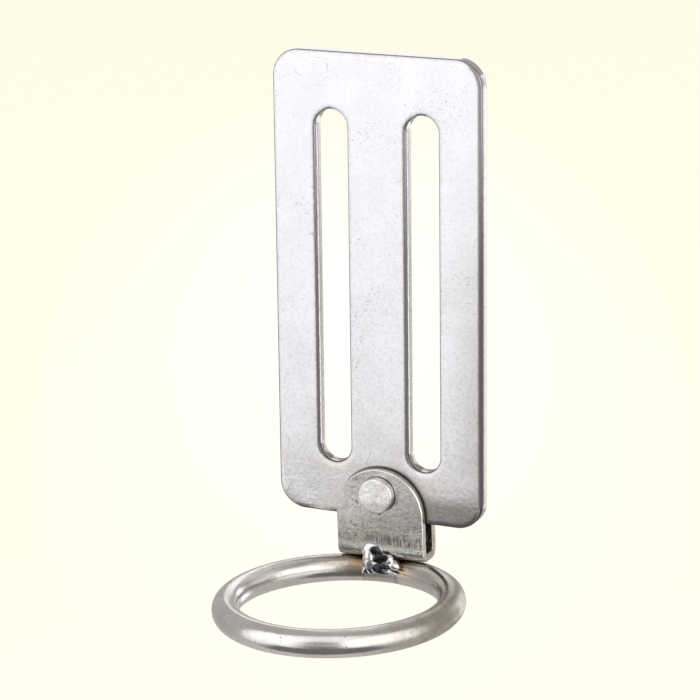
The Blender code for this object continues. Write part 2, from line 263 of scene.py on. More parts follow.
def rim_of(edge, way, low=-2.0, middle=0.5, high=0.99):
    """True for an edge between a face that looks that way, by more than high, and one that does by less
    than the middle value, such as a wall."""
    looks = [face.normal.dot(Vector(way)) for face in edge.link_faces]
    return len(looks) == 2 and max(looks) > high and low < min(looks) < middle


def push(way):
    """Extrudes what is selected."""
    bpy.ops.mesh.extrude_region_move(TRANSFORM_OT_translate={"value": way})


def stretch(value, centre):
    """Scales what is selected about a point."""
    bpy.ops.transform.resize(value=value, center_override=centre)


def frame_flat(way, width):
    """Runs a narrow border round the flat that looks one way, and fills its middle again."""
    pick("faces", lambda face: faces_way(face, way))
    bpy.ops.mesh.inset(thickness=width, depth=0.0, use_even_offset=True)
    bpy.ops.mesh.delete(type="FACE")
    pick("edges", lambda edge: edge.is_boundary)
    bpy.ops.mesh.fill(use_beauty=True)


def outward():
    """Merges doubles, turns all faces outwards and goes back to object mode."""
    bpy.ops.mesh.select_all(action="SELECT")
    bpy.ops.mesh.remove_doubles(threshold=SAME_POINT)
    bpy.ops.mesh.normals_make_consistent(inside=False)
    bpy.ops.object.mode_set(mode="OBJECT")


def work_on(piece):
    """Makes a piece the only one selected, and the active one."""
    bpy.ops.object.select_all(action="DESELECT")
    piece.select_set(True)
    bpy.context.view_layer.objects.active = piece


def modify(piece, kind, **settings):
    """Adds a modifier with its settings and applies it."""
    work_on(piece)
    modifier = piece.modifiers.new(kind.lower(), kind)
    for name, value in settings.items():
        setattr(modifier, name, value)
    bpy.ops.object.modifier_apply(modifier=modifier.name)


def cut(piece, tool, operation):
    """Cuts a piece with a tool, which is thrown away."""
    modify(piece, "BOOLEAN", operation=operation, solver="EXACT", object=tool)
    bpy.data.objects.remove(tool, do_unlink=True)


def smooth(piece, angle=35.0):
    """Shades a piece smooth except at edges sharper than the angle, and keeps its flats flat."""
    work_on(piece)
    bpy.ops.object.shade_smooth_by_angle(angle=math.radians(angle))
    modify(piece, "WEIGHTED_NORMAL", keep_sharp=True)


def rivet_drill(name, reach):
    """A drill along the rivet's axis, as wide as the rivet's hole."""
    drill = begin(
        name,
        bpy.ops.mesh.primitive_cylinder_add,
        vertices=64,
        radius=RIVET_HOLE / 2,
        depth=2 * reach,
        location=RIVET_PLACE,
        rotation=FACING_FRONT,
    )
    outward()
    return drill


# The outline with its slots is pushed out too thick, so that an even bevel of its front rims becomes
# the long low droop once the block is squeezed to the sheet's own thickness.
front = -PLATE_THICKNESS / 2
swell = DROOP_WIDTH / DROOP_DEPTH
middle = (0.0, front, (PLATE_TOP + PLATE_BOTTOM) / 2)
plate = begin(
    "punched_belt_plate", bpy.ops.mesh.primitive_plane_add, size=1.0, location=middle, rotation=FACING_FRONT
)
stretch((PLATE_WIDTH, 1.0, PLATE_TOP - PLATE_BOTTOM), middle)
bpy.ops.mesh.bevel(offset=PLATE_CORNER, segments=20, affect="VERTICES")
bpy.ops.mesh.delete(type="ONLY_FACE")
for side in (-1, 1):
    slot_middle = (side * SLOT_MIDDLE, front, 0.0)
    bpy.ops.mesh.primitive_plane_add(size=1.0, location=slot_middle, rotation=FACING_FRONT)
    stretch((SLOT_WIDTH, 1.0, SLOT_LENGTH), slot_middle)
    bpy.ops.mesh.bevel(offset=SLOT_WIDTH / 2, segments=20, affect="VERTICES")
    bpy.ops.mesh.delete(type="ONLY_FACE")
bpy.ops.mesh.select_all(action="SELECT")
bpy.ops.mesh.remove_doubles(threshold=SAME_CORNER)
bpy.ops.mesh.fill(use_beauty=True)
bpy.ops.mesh.select_all(action="SELECT")
push((0.0, PLATE_THICKNESS * swell, 0.0))
bpy.ops.mesh.select_all(action="SELECT")
bpy.ops.mesh.normals_make_consistent(inside=False)
frame_flat(TO_FRONT, DROOP_WIDTH + DROOP_START + BORDER_SPARE)
frame_flat(TO_BACK, BURR_BREAK + BORDER_SPARE)
pick("edges", lambda edge: rim_of(edge, TO_FRONT))
bpy.ops.mesh.bevel(offset=DROOP_WIDTH, segments=1, affect="EDGES", clamp_overlap=False)
bpy.ops.mesh.select_all(action="SELECT")
stretch((1.0, 1 / swell, 1.0), (0, front, 0))
# Rounded: the corner between droop and wall, the start of the droop on the flat, and the back rim.
pick("edges", lambda edge: rim_of(edge, TO_FRONT, high=0.9))
bpy.ops.mesh.bevel(offset=CORNER_BREAK, segments=5, profile=0.5, affect="EDGES", clamp_overlap=False)
pick("edges", lambda edge: rim_of(edge, TO_FRONT, low=0.9, middle=0.995, high=0.9999))
bpy.ops.mesh.bevel(offset=DROOP_START, segments=5, profile=0.5, affect="EDGES", clamp_overlap=False)
pick("edges", lambda edge: rim_of(edge, TO_BACK))
bpy.ops.mesh.bevel(offset=BURR_BREAK, segments=3, profile=0.5, affect="EDGES", clamp_overlap=False)
outward()
cut(plate, rivet_drill("plate_drill", PLATE_THICKNESS), "DIFFERENCE")
smooth(plate)

# Tumbled stainless sheet, a 2B mill finish dulled by ceramic chips: an even satin grey whose light
# breaks up into soft clouds, with pits of a third of a millimetre in loose groups and short fine
# scratches. Low down it is scuffed by the swinging bracket. Painted shade darkens it low down right of
# the bracket, on its right strip, its rims and its walls, and a painted shadow lines the leaf's edge.
# The real grain is finer than a pixel of the picture, so it is drawn at 0.4 mm.
LEAF_MIDDLE = (0.5 * MM, 0.0, -32.8 * MM)
LEAF_REACH = 7.0 * MM
tumbled, tree = new_material("tumbled_stainless_sheet")
coordinates = add_node(tree, "TexCoord")
place = coordinates["Object"]
sides = add_node(tree, "SeparateXYZ", {"Vector": place})
height_up = sides["Z"]
clouds = add_node(
    tree, "TexNoise", {"Vector": place, "Scale": 1 / (7 * MM), "Detail": 5.0, "Roughness": 0.6}
)[0]
mottle = add_node(
    tree, "TexNoise", {"Vector": place, "Scale": 1 / (0.55 * MM), "Detail": 4.0, "Roughness": 0.7}
)[0]
grain = add_node(tree, "TexNoise", {"Vector": place, "Scale": 1 / (0.4 * MM), "Detail": 2.0})[0]
# How much of each finish lies where: clouds and mottle, what handling has left low down, painted
# shade low down right of the bracket and on the right strip, pits in loose groups, and scratches.
cloudy = add_node(tree, "MapRange", {"Value": clouds, "From Min": 0.35, "From Max": 0.7})[0]
mottled = add_node(
    tree, "MapRange", {"Value": mottle, "From Min": 0.48, "From Max": 0.72, "To Max": 0.38}
)[0]
span = {"From Min": 28 * MM, "From Max": -18 * MM, "To Min": 0.3}
low_down = add_node(tree, "MapRange", {"Value": height_up, **span})[0]
mottled = add_node(tree, "Math", {"operation": "MULTIPLY", 0: mottled, 1: low_down})[0]
handled = add_node(tree, "MapRange", {"Value": height_up, "From Min": -14 * MM, "From Max": -34 * MM})[0]
patches = add_node(tree, "TexNoise", {"Vector": place, "Scale": 1 / (5 * MM), "Detail": 4.0})[0]
patches = add_node(tree, "MapRange", {"Value": patches, "From Min": 0.35, "From Max": 0.7})[0]
handled = add_node(tree, "Math", {"operation": "MULTIPLY", 0: handled, 1: patches})[0]
# Painted shade: darker low down just right of the bracket, in uneven patches.
low_right_shade = add_node(tree, "MapRange", {"Value": height_up, "From Min": -29.0 * MM, "From Max": -30.6 * MM})[0]
to_right = add_node(tree, "MapRange", {"Value": sides["X"], "From Min": 0.0, "From Max": 5 * MM})[0]
span = {"From Min": 0.3, "From Max": 0.7, "To Min": 0.5, "To Max": 0.8}
uneven = add_node(tree, "MapRange", {"Value": mottle, **span})[0]
for zone in (to_right, uneven):
    low_right_shade = add_node(tree, "Math", {"operation": "MULTIPLY", 0: low_right_shade, 1: zone})[0]
# Painted shade: the strip right of the right slot is darker, more so lower down.
right_strip_shade = add_node(tree, "MapRange", {"Value": height_up, "From Min": 18 * MM, "From Max": -10 * MM})[0]
zone = add_node(tree, "MapRange", {"Value": sides["X"], "From Min": 11 * MM, "From Max": 15.5 * MM})[0]
right_strip_shade = add_node(tree, "Math", {"operation": "MULTIPLY", 0: right_strip_shade, 1: zone})[0]
right_strip_shade = add_node(tree, "MapRange", {"Value": right_strip_shade, "To Max": 0.6})[0]
pits = add_node(tree, "TexNoise", {"Vector": place, "Scale": 1 / (0.3 * MM), "Detail": 1.0})[0]
pits = add_node(tree, "MapRange", {"Value": pits, "From Min": 0.64, "From Max": 0.74, "To Max": 0.8})[0]
patches = add_node(tree, "TexNoise", {"Vector": place, "Scale": 1 / (10 * MM), "Detail": 2.0})[0]
patches = add_node(tree, "MapRange", {"Value": patches, "From Min": 0.46, "From Max": 0.64})[0]
span = {"From Min": 0.2, "From Max": 0.6, "To Min": 0.5, "To Max": 0.9}
uneven = add_node(tree, "MapRange", {"Value": clouds, **span})[0]
for zone in (patches, uneven):
    pits = add_node(tree, "Math", {"operation": "MULTIPLY", 0: pits, 1: zone})[0]
scratches = add_node(
    tree, "TexVoronoi", {"feature": "DISTANCE_TO_EDGE", "Vector": place, "Scale": 1 / (4.6 * MM)}
)["Distance"]
scratches = add_node(
    tree, "MapRange", {"Value": scratches, "From Max": 0.012, "To Min": 1.0, "To Max": 0.0}
)[0]
patches = add_node(tree, "TexNoise", {"Vector": place, "Scale": 1 / (3 * MM), "Detail": 1.0})[0]
patches = add_node(tree, "MapRange", {"Value": patches, "From Min": 0.64, "From Max": 0.72})[0]
scratches = add_node(tree, "Math", {"operation": "MULTIPLY", 0: scratches, 1: patches})[0]
# The walls, from the front: a lip under the droop painted dark as shade, then on the outline a torn
# band and a smooth sheared one, and in the slots a sheared band, a fine dark line and a torn band.
# The torn band is partly painted shade: kept off walls that face up, stronger lower down, darkest on
# the outline.
wavy = add_node(tree, "TexNoise", {"Vector": place, "Scale": 1 / (1.3 * MM), "Detail": 2.0})[0]
span = {"From Min": 0.25, "From Max": 0.75, "To Min": -0.08 * MM, "To Max": 0.08 * MM}
wavy = add_node(tree, "MapRange", {"Value": wavy, **span})[0]
depth = add_node(tree, "Math", {"operation": "ADD", 0: sides["Y"], 1: wavy})[0]
not_back = add_node(
    tree, "MapRange", {"Value": sides["Y"], "From Min": 0.98 * MM, "From Max": 0.94 * MM}
)[0]
on_wall = add_node(
    tree, "MapRange", {"Value": sides["Y"], "From Min": -0.93 * MM, "From Max": -0.89 * MM}
)[0]
on_wall = add_node(tree, "Math", {"operation": "MULTIPLY", 0: not_back, 1: on_wall})[0]
sideways = add_node(tree, "Math", {"operation": "ABSOLUTE", 0: sides["X"]})[0]
up_or_down = add_node(tree, "Math", {"operation": "ABSOLUTE", 0: sides["Z"]})[0]
outline = add_node(tree, "MapRange", {"Value": sideways, "From Min": 12 * MM, "From Max": 13 * MM})[0]
ends = add_node(tree, "MapRange", {"Value": up_or_down, "From Min": 29 * MM, "From Max": 30 * MM})[0]
outline = add_node(tree, "Math", {"operation": "MAXIMUM", 0: outline, 1: ends})[0]
outline_torn = add_node(
    tree, "MapRange", {"Value": depth, "From Min": -0.05 * MM, "From Max": -0.2 * MM}
)[0]
slot_torn = add_node(tree, "MapRange", {"Value": depth, "From Min": -0.05 * MM, "From Max": 0.0})[0]
torn_and_shade = add_node(tree, "Mix", {"data_type": "FLOAT", 0: outline, 2: slot_torn, 3: outline_torn})[0]
looks = add_node(tree, "SeparateXYZ", {"Vector": coordinates["Normal"]})
not_up = add_node(tree, "MapRange", {"Value": looks["Z"], "From Min": 0.9, "From Max": 0.4})[0]
low_down = add_node(tree, "MapRange", {"Value": height_up, "From Max": -10 * MM, "To Max": 0.9})[0]
not_up = add_node(tree, "Math", {"operation": "MAXIMUM", 0: not_up, 1: low_down})[0]
span = {"From Min": 26 * MM, "From Max": 4 * MM}
more_below = add_node(tree, "MapRange", {"Value": height_up, **span, "To Min": 0.3})[0]
darker_below = add_node(tree, "MapRange", {"Value": height_up, **span, "To Min": 0.5})[0]
# Painted shade: the torn band is kept off walls that face up and grows lower down.
for zone in (on_wall, not_up, more_below):
    torn_and_shade = add_node(tree, "Math", {"operation": "MULTIPLY", 0: torn_and_shade, 1: zone})[0]
# Painted shade: a dark band at the front of each wall, under the droop, darker lower down.
lip_shade = add_node(tree, "MapRange", {"Value": depth, "From Min": -0.42 * MM, "From Max": -0.58 * MM})[0]
for zone in (on_wall, darker_below):
    lip_shade = add_node(tree, "Math", {"operation": "MULTIPLY", 0: lip_shade, 1: zone})[0]
lip_shade = add_node(tree, "MapRange", {"Value": lip_shade, "To Max": 0.85})[0]
tear_line = add_node(tree, "MapRange", {"Value": depth, "From Min": -0.12 * MM, "From Max": -0.04 * MM})[0]
behind = add_node(tree, "MapRange", {"Value": depth, "From Min": 0.12 * MM, "From Max": 0.04 * MM})[0]
in_slots = add_node(tree, "MapRange", {"Value": outline, "To Min": 0.8, "To Max": 0.0})[0]
for zone in (behind, on_wall, in_slots):
    tear_line = add_node(tree, "Math", {"operation": "MULTIPLY", 0: tear_line, 1: zone})[0]
back_rim = add_node(tree, "MapRange", {"Value": depth, "From Min": 0.6 * MM, "From Max": 0.8 * MM})[0]
back_rim = add_node(tree, "Math", {"operation": "MULTIPLY", 0: back_rim, 1: on_wall})[0]
back_rim = add_node(tree, "MapRange", {"Value": back_rim, "To Max": 0.6})[0]
tear_grain = add_node(tree, "Mapping", {"Vector": place, "Scale": (1.0, 0.2, 1.0)})["Vector"]
tear_grain = add_node(tree, "TexNoise", {"Vector": tear_grain, "Scale": 1 / (0.35 * MM), "Detail": 2.0})[0]
tear_grain = add_node(
    tree, "MapRange", {"Value": tear_grain, "From Min": 0.3, "From Max": 0.6, "To Min": 0.6}
)[0]
torn_grain_and_shade = add_node(tree, "Math", {"operation": "MULTIPLY", 0: torn_and_shade, 1: tear_grain})[0]
# Painted shade: the outline's torn band darkened.
outline_shade = add_node(tree, "MapRange", {"Value": outline, "To Max": 0.6})[0]
outline_shade = add_node(tree, "Math", {"operation": "MULTIPLY", 0: torn_and_shade, 1: outline_shade})[0]
looks_front = add_node(tree, "Math", {"operation": "ABSOLUTE", 0: looks["Y"]})[0]
rim = add_node(tree, "MapRange", {"Value": looks_front, "From Min": 0.998, "From Max": 0.985})[0]
span = {"From Min": 0.3, "From Max": 0.7, "To Min": 0.1, "To Max": 0.5}
uneven = add_node(tree, "MapRange", {"Value": mottle, **span})[0]
# Painted shade: the droop, rounded corners and walls are darkened in uneven patches.
rim_shade = add_node(tree, "Math", {"operation": "MULTIPLY", 0: rim, 1: uneven})[0]
# Round the bracket: a painted shadow along the leaf's edge, a rougher ring round it, and leathery scuffs.
flat_place = add_node(tree, "Mapping", {"Vector": place, "Scale": (1.0, 0.0, 1.0)})["Vector"]
from_leaf = add_node(tree, "VectorMath", {"operation": "DISTANCE", 0: flat_place, 1: LEAF_MIDDLE})["Value"]
# Painted shadow: a dark line on the plate along the leaf's edge.
span = {"From Min": LEAF_REACH + 0.1 * MM, "From Max": LEAF_REACH - 0.02 * MM, "To Max": 0.7}
leaf_shadow = add_node(tree, "MapRange", {"Value": from_leaf, **span})[0]
span = {"From Min": LEAF_REACH + 1.6 * MM, "From Max": LEAF_REACH, "To Min": 1.0, "To Max": 1.7}
swept = add_node(tree, "MapRange", {"Value": from_leaf, **span})[0]
scuffs = add_node(
    tree, "TexNoise", {"Vector": place, "Scale": 1 / (0.6 * MM), "Detail": 3.0, "Roughness": 0.6}
)[0]
low_down = add_node(tree, "MapRange", {"Value": height_up, "From Min": -24 * MM, "From Max": -30 * MM})[0]
scuffs = add_node(tree, "Math", {"operation": "MULTIPLY", 0: scuffs, 1: low_down})[0]
# Each finish, and each painted shade and shadow, is laid over the ones before it.
colour = linear("#E7E6EA")
for amount, stain in (
    (cloudy, "#DEDDE0"),
    (mottled, "#B2AFAD"),
    (handled, "#C9C4BA"),
    (low_right_shade, "#A39E99"),
    (right_strip_shade, "#B5B0AD"),
    (pits, "#857C74"),
    (scratches, "#B4AFAA"),
    (rim_shade, "#B5AFAB"),
    (back_rim, "#B5B1AE"),
    (torn_grain_and_shade, "#A29D9A"),
    (outline_shade, "#5F5A58"),
    (tear_line, "#4F4946"),
    (lip_shade, "#594D53"),
    (leaf_shadow, "#39332F"),
):
    colour = add_node(tree, "Mix", {"data_type": "RGBA", 0: amount, 6: colour, 7: linear(stain)})[2]
relief = {}
for height, rise in ((clouds, 0.02), (mottle, 0.005), (grain, 0.006), (scratches, -0.01), (scuffs, 0.022)):
    relief["Normal"] = add_node(tree, "Bump", {"Height": height, "Distance": rise * MM, **relief})[0]
span = {"From Min": 0.3, "From Max": 0.8, "To Min": 0.17, "To Max": 0.27}
roughness = add_node(tree, "MapRange", {"Value": mottle, **span})[0]
rim_polish = add_node(tree, "MapRange", {"Value": rim, "To Min": 1.0, "To Max": 0.5})[0]
torn_rough = add_node(tree, "MapRange", {"Value": torn_and_shade, "To Min": 1.0, "To Max": 1.8})[0]
for zone in (rim_polish, swept, torn_rough):
    roughness = add_node(tree, "Math", {"operation": "MULTIPLY", 0: roughness, 1: zone})[0]
steel = add_node(
    tree, "BsdfPrincipled", {"Metallic": 1.0, "Base Color": colour, "Roughness": roughness, **relief}
)[0]
add_node(tree, "OutputMaterial", {"Surface": steel})
plate.data.materials.append(tumbled)
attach(plate, "plate")
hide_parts("belt_plate")


# The swivel bracket. One strip of 1.2 mm stainless, folded round the plate's lower edge with a
# round-topped leaf in front and another behind, drilled together for the rivet.
STRIP_WIDTH = 13.6 * MM
STRIP_THICKNESS = 1.2 * MM
LEAF_TOP = 3.65 * MM
LEAF_GAP = 1.15 * MM
FOLD_BOTTOM = -10.0 * MM
INNER_BEND = 0.3 * MM
EASED_EDGE = 0.19 * MM
SWIVEL_REST = math.radians(1.6)
SPARE = 2.0 * MM

leaf_y = LEAF_GAP + STRIP_THICKNESS / 2
bend_y = LEAF_GAP - INNER_BEND
bend_z = FOLD_BOTTOM + STRIP_THICKNESS + INNER_BEND


def hang(piece):
    """Hangs a piece that was made about the rivet's axis on the rivet, at the angle that it rests at."""
    work_on(piece)
    piece.location = RIVET_PLACE
    piece.rotation_euler = (0.0, -SWIVEL_REST, 0.0)
    bpy.ops.object.transform_apply(location=True, rotation=True, scale=True)


# The strip's end is pushed down, spun round both bends and pushed up behind the plate. The leaves are
# then trimmed to their outline and drilled.
bracket = begin(
    "folded_bracket", bpy.ops.mesh.primitive_plane_add, size=1.0, location=(0, -leaf_y, LEAF_TOP + SPARE)
)
stretch((STRIP_WIDTH + SPARE, STRIP_THICKNESS, 1.0), (0, -leaf_y, LEAF_TOP + SPARE))
push((0.0, 0.0, bend_z - LEAF_TOP - SPARE))
bpy.ops.mesh.spin(steps=20, angle=math.radians(-90), center=(0, -bend_y, bend_z), axis=(1, 0, 0))
push((0.0, 2 * bend_y, 0.0))
bpy.ops.mesh.spin(steps=20, angle=math.radians(-90), center=(0, bend_y, bend_z), axis=(1, 0, 0))
push((0.0, 0.0, LEAF_TOP + SPARE - bend_z))
outward()
leaf_length = LEAF_TOP - FOLD_BOTTOM + SPARE
leaf_middle = LEAF_TOP - leaf_length / 2
trim = begin(
    "leaf_trim",
    bpy.ops.mesh.primitive_plane_add,
    size=1.0,
    location=(0, -3 * leaf_y, leaf_middle),
    rotation=FACING_FRONT,
)
stretch((STRIP_WIDTH, 1.0, leaf_length), (0, 0, leaf_middle))
pick("verts", lambda vert: vert.co.z > leaf_middle)
bpy.ops.mesh.bevel(offset=STRIP_WIDTH / 2, segments=40, affect="VERTICES")
bpy.ops.mesh.select_all(action="SELECT")
push((0.0, 6 * leaf_y, 0.0))
outward()
cut(bracket, trim, "INTERSECT")
drill = rivet_drill("bracket_drill", 3 * leaf_y)
drill.data.transform(Matrix.Translation(-RIVET_PLACE))
cut(bracket, drill, "DIFFERENCE")
modify(bracket, "BEVEL", width=EASED_EDGE, segments=3, limit_method="ANGLE", angle_limit=math.radians(50))
smooth(bracket)
hang(bracket)

# The same stainless as hand-worked strip: duller and rougher than the plate, with brown specks,
# and above the bend the upright drag marks of the folding tool, with a straw tint from burnt oil
# that is also painted light lower down, and a painted highlight where the bend starts. The marks
# are drawn 0.3 mm apart, about as they are. The rims carry a painted highlight, the cut edges
# between them are a warm dull grey, and painted shadow darkens the leaf round the rivet's head and
# where the strip lies close to the plate.
DRAG_TOP = -35.9 * MM
DRAG_BOTTOM = -37.3 * MM
BEND_HIGHLIGHT = -37.75 * MM
SHADOW_RADIUS = 2.66 * MM
worn, tree = new_material("worn_stainless_strip")
coordinates = add_node(tree, "TexCoord")
place = coordinates["Object"]
sides = add_node(tree, "SeparateXYZ", {"Vector": place})
height_up = sides["Z"]
clouds = add_node(
    tree, "TexNoise", {"Vector": place, "Scale": 1 / (3.2 * MM), "Detail": 5.0, "Roughness": 0.6}
)[0]
mottle = add_node(
    tree, "TexNoise", {"Vector": place, "Scale": 1 / (0.7 * MM), "Detail": 4.0, "Roughness": 0.65}
)[0]
grain = add_node(tree, "TexNoise", {"Vector": place, "Scale": 1 / (0.35 * MM), "Detail": 2.0})[0]
cloudy = add_node(tree, "MapRange", {"Value": clouds, "From Min": 0.35, "From Max": 0.68})[0]
# Straw tint in patches, stronger lower down, where it is also painted light.
straw_and_light = add_node(
    tree, "TexNoise", {"Vector": place, "Scale": 1 / (1.0 * MM), "Detail": 4.0, "Roughness": 0.65}
)[0]
straw_and_light = add_node(tree, "MapRange", {"Value": straw_and_light, "From Min": 0.48, "From Max": 0.6, "To Max": 0.75})[0]
span = {"From Min": -33.5 * MM, "From Max": -35.5 * MM, "To Min": 0.15}
low_down = add_node(tree, "MapRange", {"Value": height_up, **span})[0]
straw_and_light = add_node(tree, "Math", {"operation": "MULTIPLY", 0: straw_and_light, 1: low_down})[0]
mottled = add_node(tree, "MapRange", {"Value": mottle, "From Min": 0.5, "From Max": 0.72, "To Max": 0.6})[0]
drag_grain = add_node(
    tree, "Mapping", {"Vector": place, "Rotation": (0.0, -SWIVEL_REST, 0.0), "Scale": (1.0, 0.3, 0.12)}
)["Vector"]
marks = add_node(
    tree, "TexNoise", {"Vector": drag_grain, "Scale": 1 / (0.26 * MM), "Detail": 2.0, "Roughness": 0.7}
)[0]
marks = add_node(tree, "MapRange", {"Value": marks, "From Min": 0.46, "From Max": 0.56})[0]
span = {"From Min": DRAG_TOP + 0.4 * MM, "From Max": DRAG_TOP - 0.4 * MM}
in_drag = add_node(tree, "MapRange", {"Value": height_up, **span})[0]
span = {"From Min": DRAG_BOTTOM - 0.2 * MM, "From Max": DRAG_BOTTOM + 0.2 * MM}
above_bend = add_node(tree, "MapRange", {"Value": height_up, **span})[0]
in_drag = add_node(tree, "Math", {"operation": "MULTIPLY", 0: in_drag, 1: above_bend})[0]
span = {"From Min": -6 * MM, "From Max": 2 * MM, "To Min": 0.4}
more_right = add_node(tree, "MapRange", {"Value": sides["X"], **span})[0]
for zone in (in_drag, more_right):
    marks = add_node(tree, "Math", {"operation": "MULTIPLY", 0: marks, 1: zone})[0]
# Painted highlight: a light line along the start of the bend.
span = {"From Min": BEND_HIGHLIGHT + 0.45 * MM, "From Max": BEND_HIGHLIGHT + 0.15 * MM}
bend_highlight = add_node(tree, "MapRange", {"Value": height_up, **span})[0]
span = {"From Min": BEND_HIGHLIGHT - 0.45 * MM, "From Max": BEND_HIGHLIGHT - 0.15 * MM}
above_line = add_node(tree, "MapRange", {"Value": height_up, **span})[0]
span = {"From Min": 0.3, "From Max": 0.6, "To Min": 0.4, "To Max": 0.9}
uneven = add_node(tree, "MapRange", {"Value": mottle, **span})[0]
for zone in (above_line, uneven):
    bend_highlight = add_node(tree, "Math", {"operation": "MULTIPLY", 0: bend_highlight, 1: zone})[0]
specks = add_node(tree, "TexNoise", {"Vector": place, "Scale": 1 / (0.36 * MM), "Detail": 1.0})[0]
specks = add_node(tree, "MapRange", {"Value": specks, "From Min": 0.63, "From Max": 0.71})[0]
patches = add_node(tree, "TexNoise", {"Vector": place, "Scale": 1 / (4 * MM), "Detail": 1.0})[0]
span = {"From Min": 0.4, "From Max": 0.6, "To Min": 0.1, "To Max": 0.9}
patches = add_node(tree, "MapRange", {"Value": patches, **span})[0]
specks = add_node(tree, "Math", {"operation": "MULTIPLY", 0: specks, 1: patches})[0]
looks_front = add_node(tree, "SeparateXYZ", {"Vector": coordinates["Normal"]})["Y"]
looks_front = add_node(tree, "Math", {"operation": "ABSOLUTE", 0: looks_front})[0]
cut_edge = add_node(tree, "MapRange", {"Value": looks_front, "From Min": 0.35, "From Max": 0.15})[0]
cut_edge = add_node(tree, "MapRange", {"Value": cut_edge, "To Max": 0.8})[0]
rim = add_node(tree, "MapRange", {"Value": looks_front, "From Min": 0.96, "From Max": 0.9})[0]
not_cut = add_node(tree, "MapRange", {"Value": looks_front, "From Min": 0.2, "From Max": 0.35})[0]
over_fold = add_node(
    tree, "MapRange", {"Value": height_up, "From Min": -38.6 * MM, "From Max": -38.1 * MM}
)[0]
for zone in (not_cut, over_fold):
    rim = add_node(tree, "Math", {"operation": "MULTIPLY", 0: rim, 1: zone})[0]
# Painted highlight: the eased rims of the leaves lightened.
rim_highlight = add_node(tree, "MapRange", {"Value": rim, "To Max": 0.95})[0]
flat_place = add_node(tree, "Mapping", {"Vector": place, "Scale": (1.0, 0.0, 1.0)})["Vector"]
from_rivet = add_node(
    tree, "VectorMath", {"operation": "DISTANCE", 0: flat_place, 1: tuple(RIVET_PLACE)}
)["Value"]
# Painted shadow: a dark ring on the leaf just round the rivet's head.
span = {"From Min": SHADOW_RADIUS + 0.1 * MM, "From Max": SHADOW_RADIUS, "To Max": 0.75}
rivet_shadow = add_node(tree, "MapRange", {"Value": from_rivet, **span})[0]
# Painted shade: the strip is darker where it lies close to the plate, on the leaves' inner edges and the
# fold's underside.
from_plate = add_node(tree, "Math", {"operation": "ABSOLUTE", 0: sides["Y"]})[0]
span = {"From Min": LEAF_GAP + 0.4 * MM, "From Max": LEAF_GAP + 0.2 * MM, "To Max": 0.45}
gap_shade = add_node(tree, "MapRange", {"Value": from_plate, **span})[0]
colour = linear("#D4D2CF")
for amount, stain in (
    (cloudy, "#B7B4B0"),
    (straw_and_light, "#E6DECC"),
    (mottled, "#93908C"),
    (marks, "#918C86"),
    (bend_highlight, "#E9E5DA"),
    (specks, "#5F5147"),
    (cut_edge, "#B8AEA0"),
    (rim_highlight, "#F6F3EE"),
    (rivet_shadow, "#4A423B"),
    (gap_shade, "#4A443E"),
):
    colour = add_node(tree, "Mix", {"data_type": "RGBA", 0: amount, 6: colour, 7: linear(stain)})[2]
relief = {}
for height, rise in ((clouds, 0.06), (mottle, 0.035), (grain, 0.014), (marks, -0.03)):
    relief["Normal"] = add_node(tree, "Bump", {"Height": height, "Distance": rise * MM, **relief})[0]
span = {"From Min": 0.3, "From Max": 0.8, "To Min": 0.24, "To Max": 0.38}
roughness = add_node(tree, "MapRange", {"Value": mottle, **span})[0]
rim_polish = add_node(tree, "MapRange", {"Value": rim, "To Min": 1.0, "To Max": 0.6})[0]
roughness = add_node(tree, "Math", {"operation": "MULTIPLY", 0: roughness, 1: rim_polish})[0]
steel = add_node(
    tree, "BsdfPrincipled", {"Metallic": 1.0, "Base Color": colour, "Roughness": roughness, **relief}
)[0]
add_node(tree, "OutputMaterial", {"Surface": steel})
bracket.data.materials.append(worn)
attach(bracket, "swivel")
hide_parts("swivel_bracket")


# The rivet. A stainless pin through both leaves and the plate, with a flat head in front whose
# rim is barely rounded, and a tail that was pressed flat behind.
RIVET_SHANK = 2.0 * MM
HEAD_RADIUS = 2.6 * MM
HEAD_HEIGHT = 1.2 * MM
HEAD_ROUNDING = 0.22 * MM
HEAD_PLAY = 0.1 * MM
TAIL_RADIUS = 2.9 * MM
TAIL_HEIGHT = 0.8 * MM
TAIL_LEDGE = 0.02 * MM
TAIL_ROUNDING = 0.5 * MM

seat = LEAF_GAP + STRIP_THICKNESS + HEAD_PLAY
rivet = begin(
    "flat_head_rivet",
    bpy.ops.mesh.primitive_cylinder_add,
    vertices=72,
    radius=HEAD_RADIUS,
    depth=HEAD_HEIGHT,
    location=(0, -seat - HEAD_HEIGHT / 2, 0),
    rotation=FACING_FRONT,
)
bpy.ops.mesh.normals_make_consistent(inside=False)
pick("faces", lambda face: faces_way(face, TO_BACK))
bpy.ops.mesh.inset(thickness=HEAD_RADIUS - RIVET_SHANK)
push((0.0, 2 * seat, 0.0))
push((0.0, TAIL_LEDGE, 0.0))
stretch((TAIL_RADIUS / RIVET_SHANK, 1.0, TAIL_RADIUS / RIVET_SHANK), (0, seat, 0))
push((0.0, TAIL_HEIGHT - TAIL_LEDGE, 0.0))
pick("edges", lambda edge: rim_of(edge, TO_BACK) and edge.verts[0].co.y > seat + TAIL_HEIGHT / 2)
bpy.ops.mesh.bevel(offset=TAIL_ROUNDING, segments=6, affect="EDGES")
pick("edges", lambda edge: rim_of(edge, TO_FRONT) and edge.verts[0].co.y < -seat - HEAD_HEIGHT / 2)
bpy.ops.mesh.bevel(offset=HEAD_ROUNDING, segments=5, affect="EDGES")
outward()
smooth(rivet)
hang(rivet)

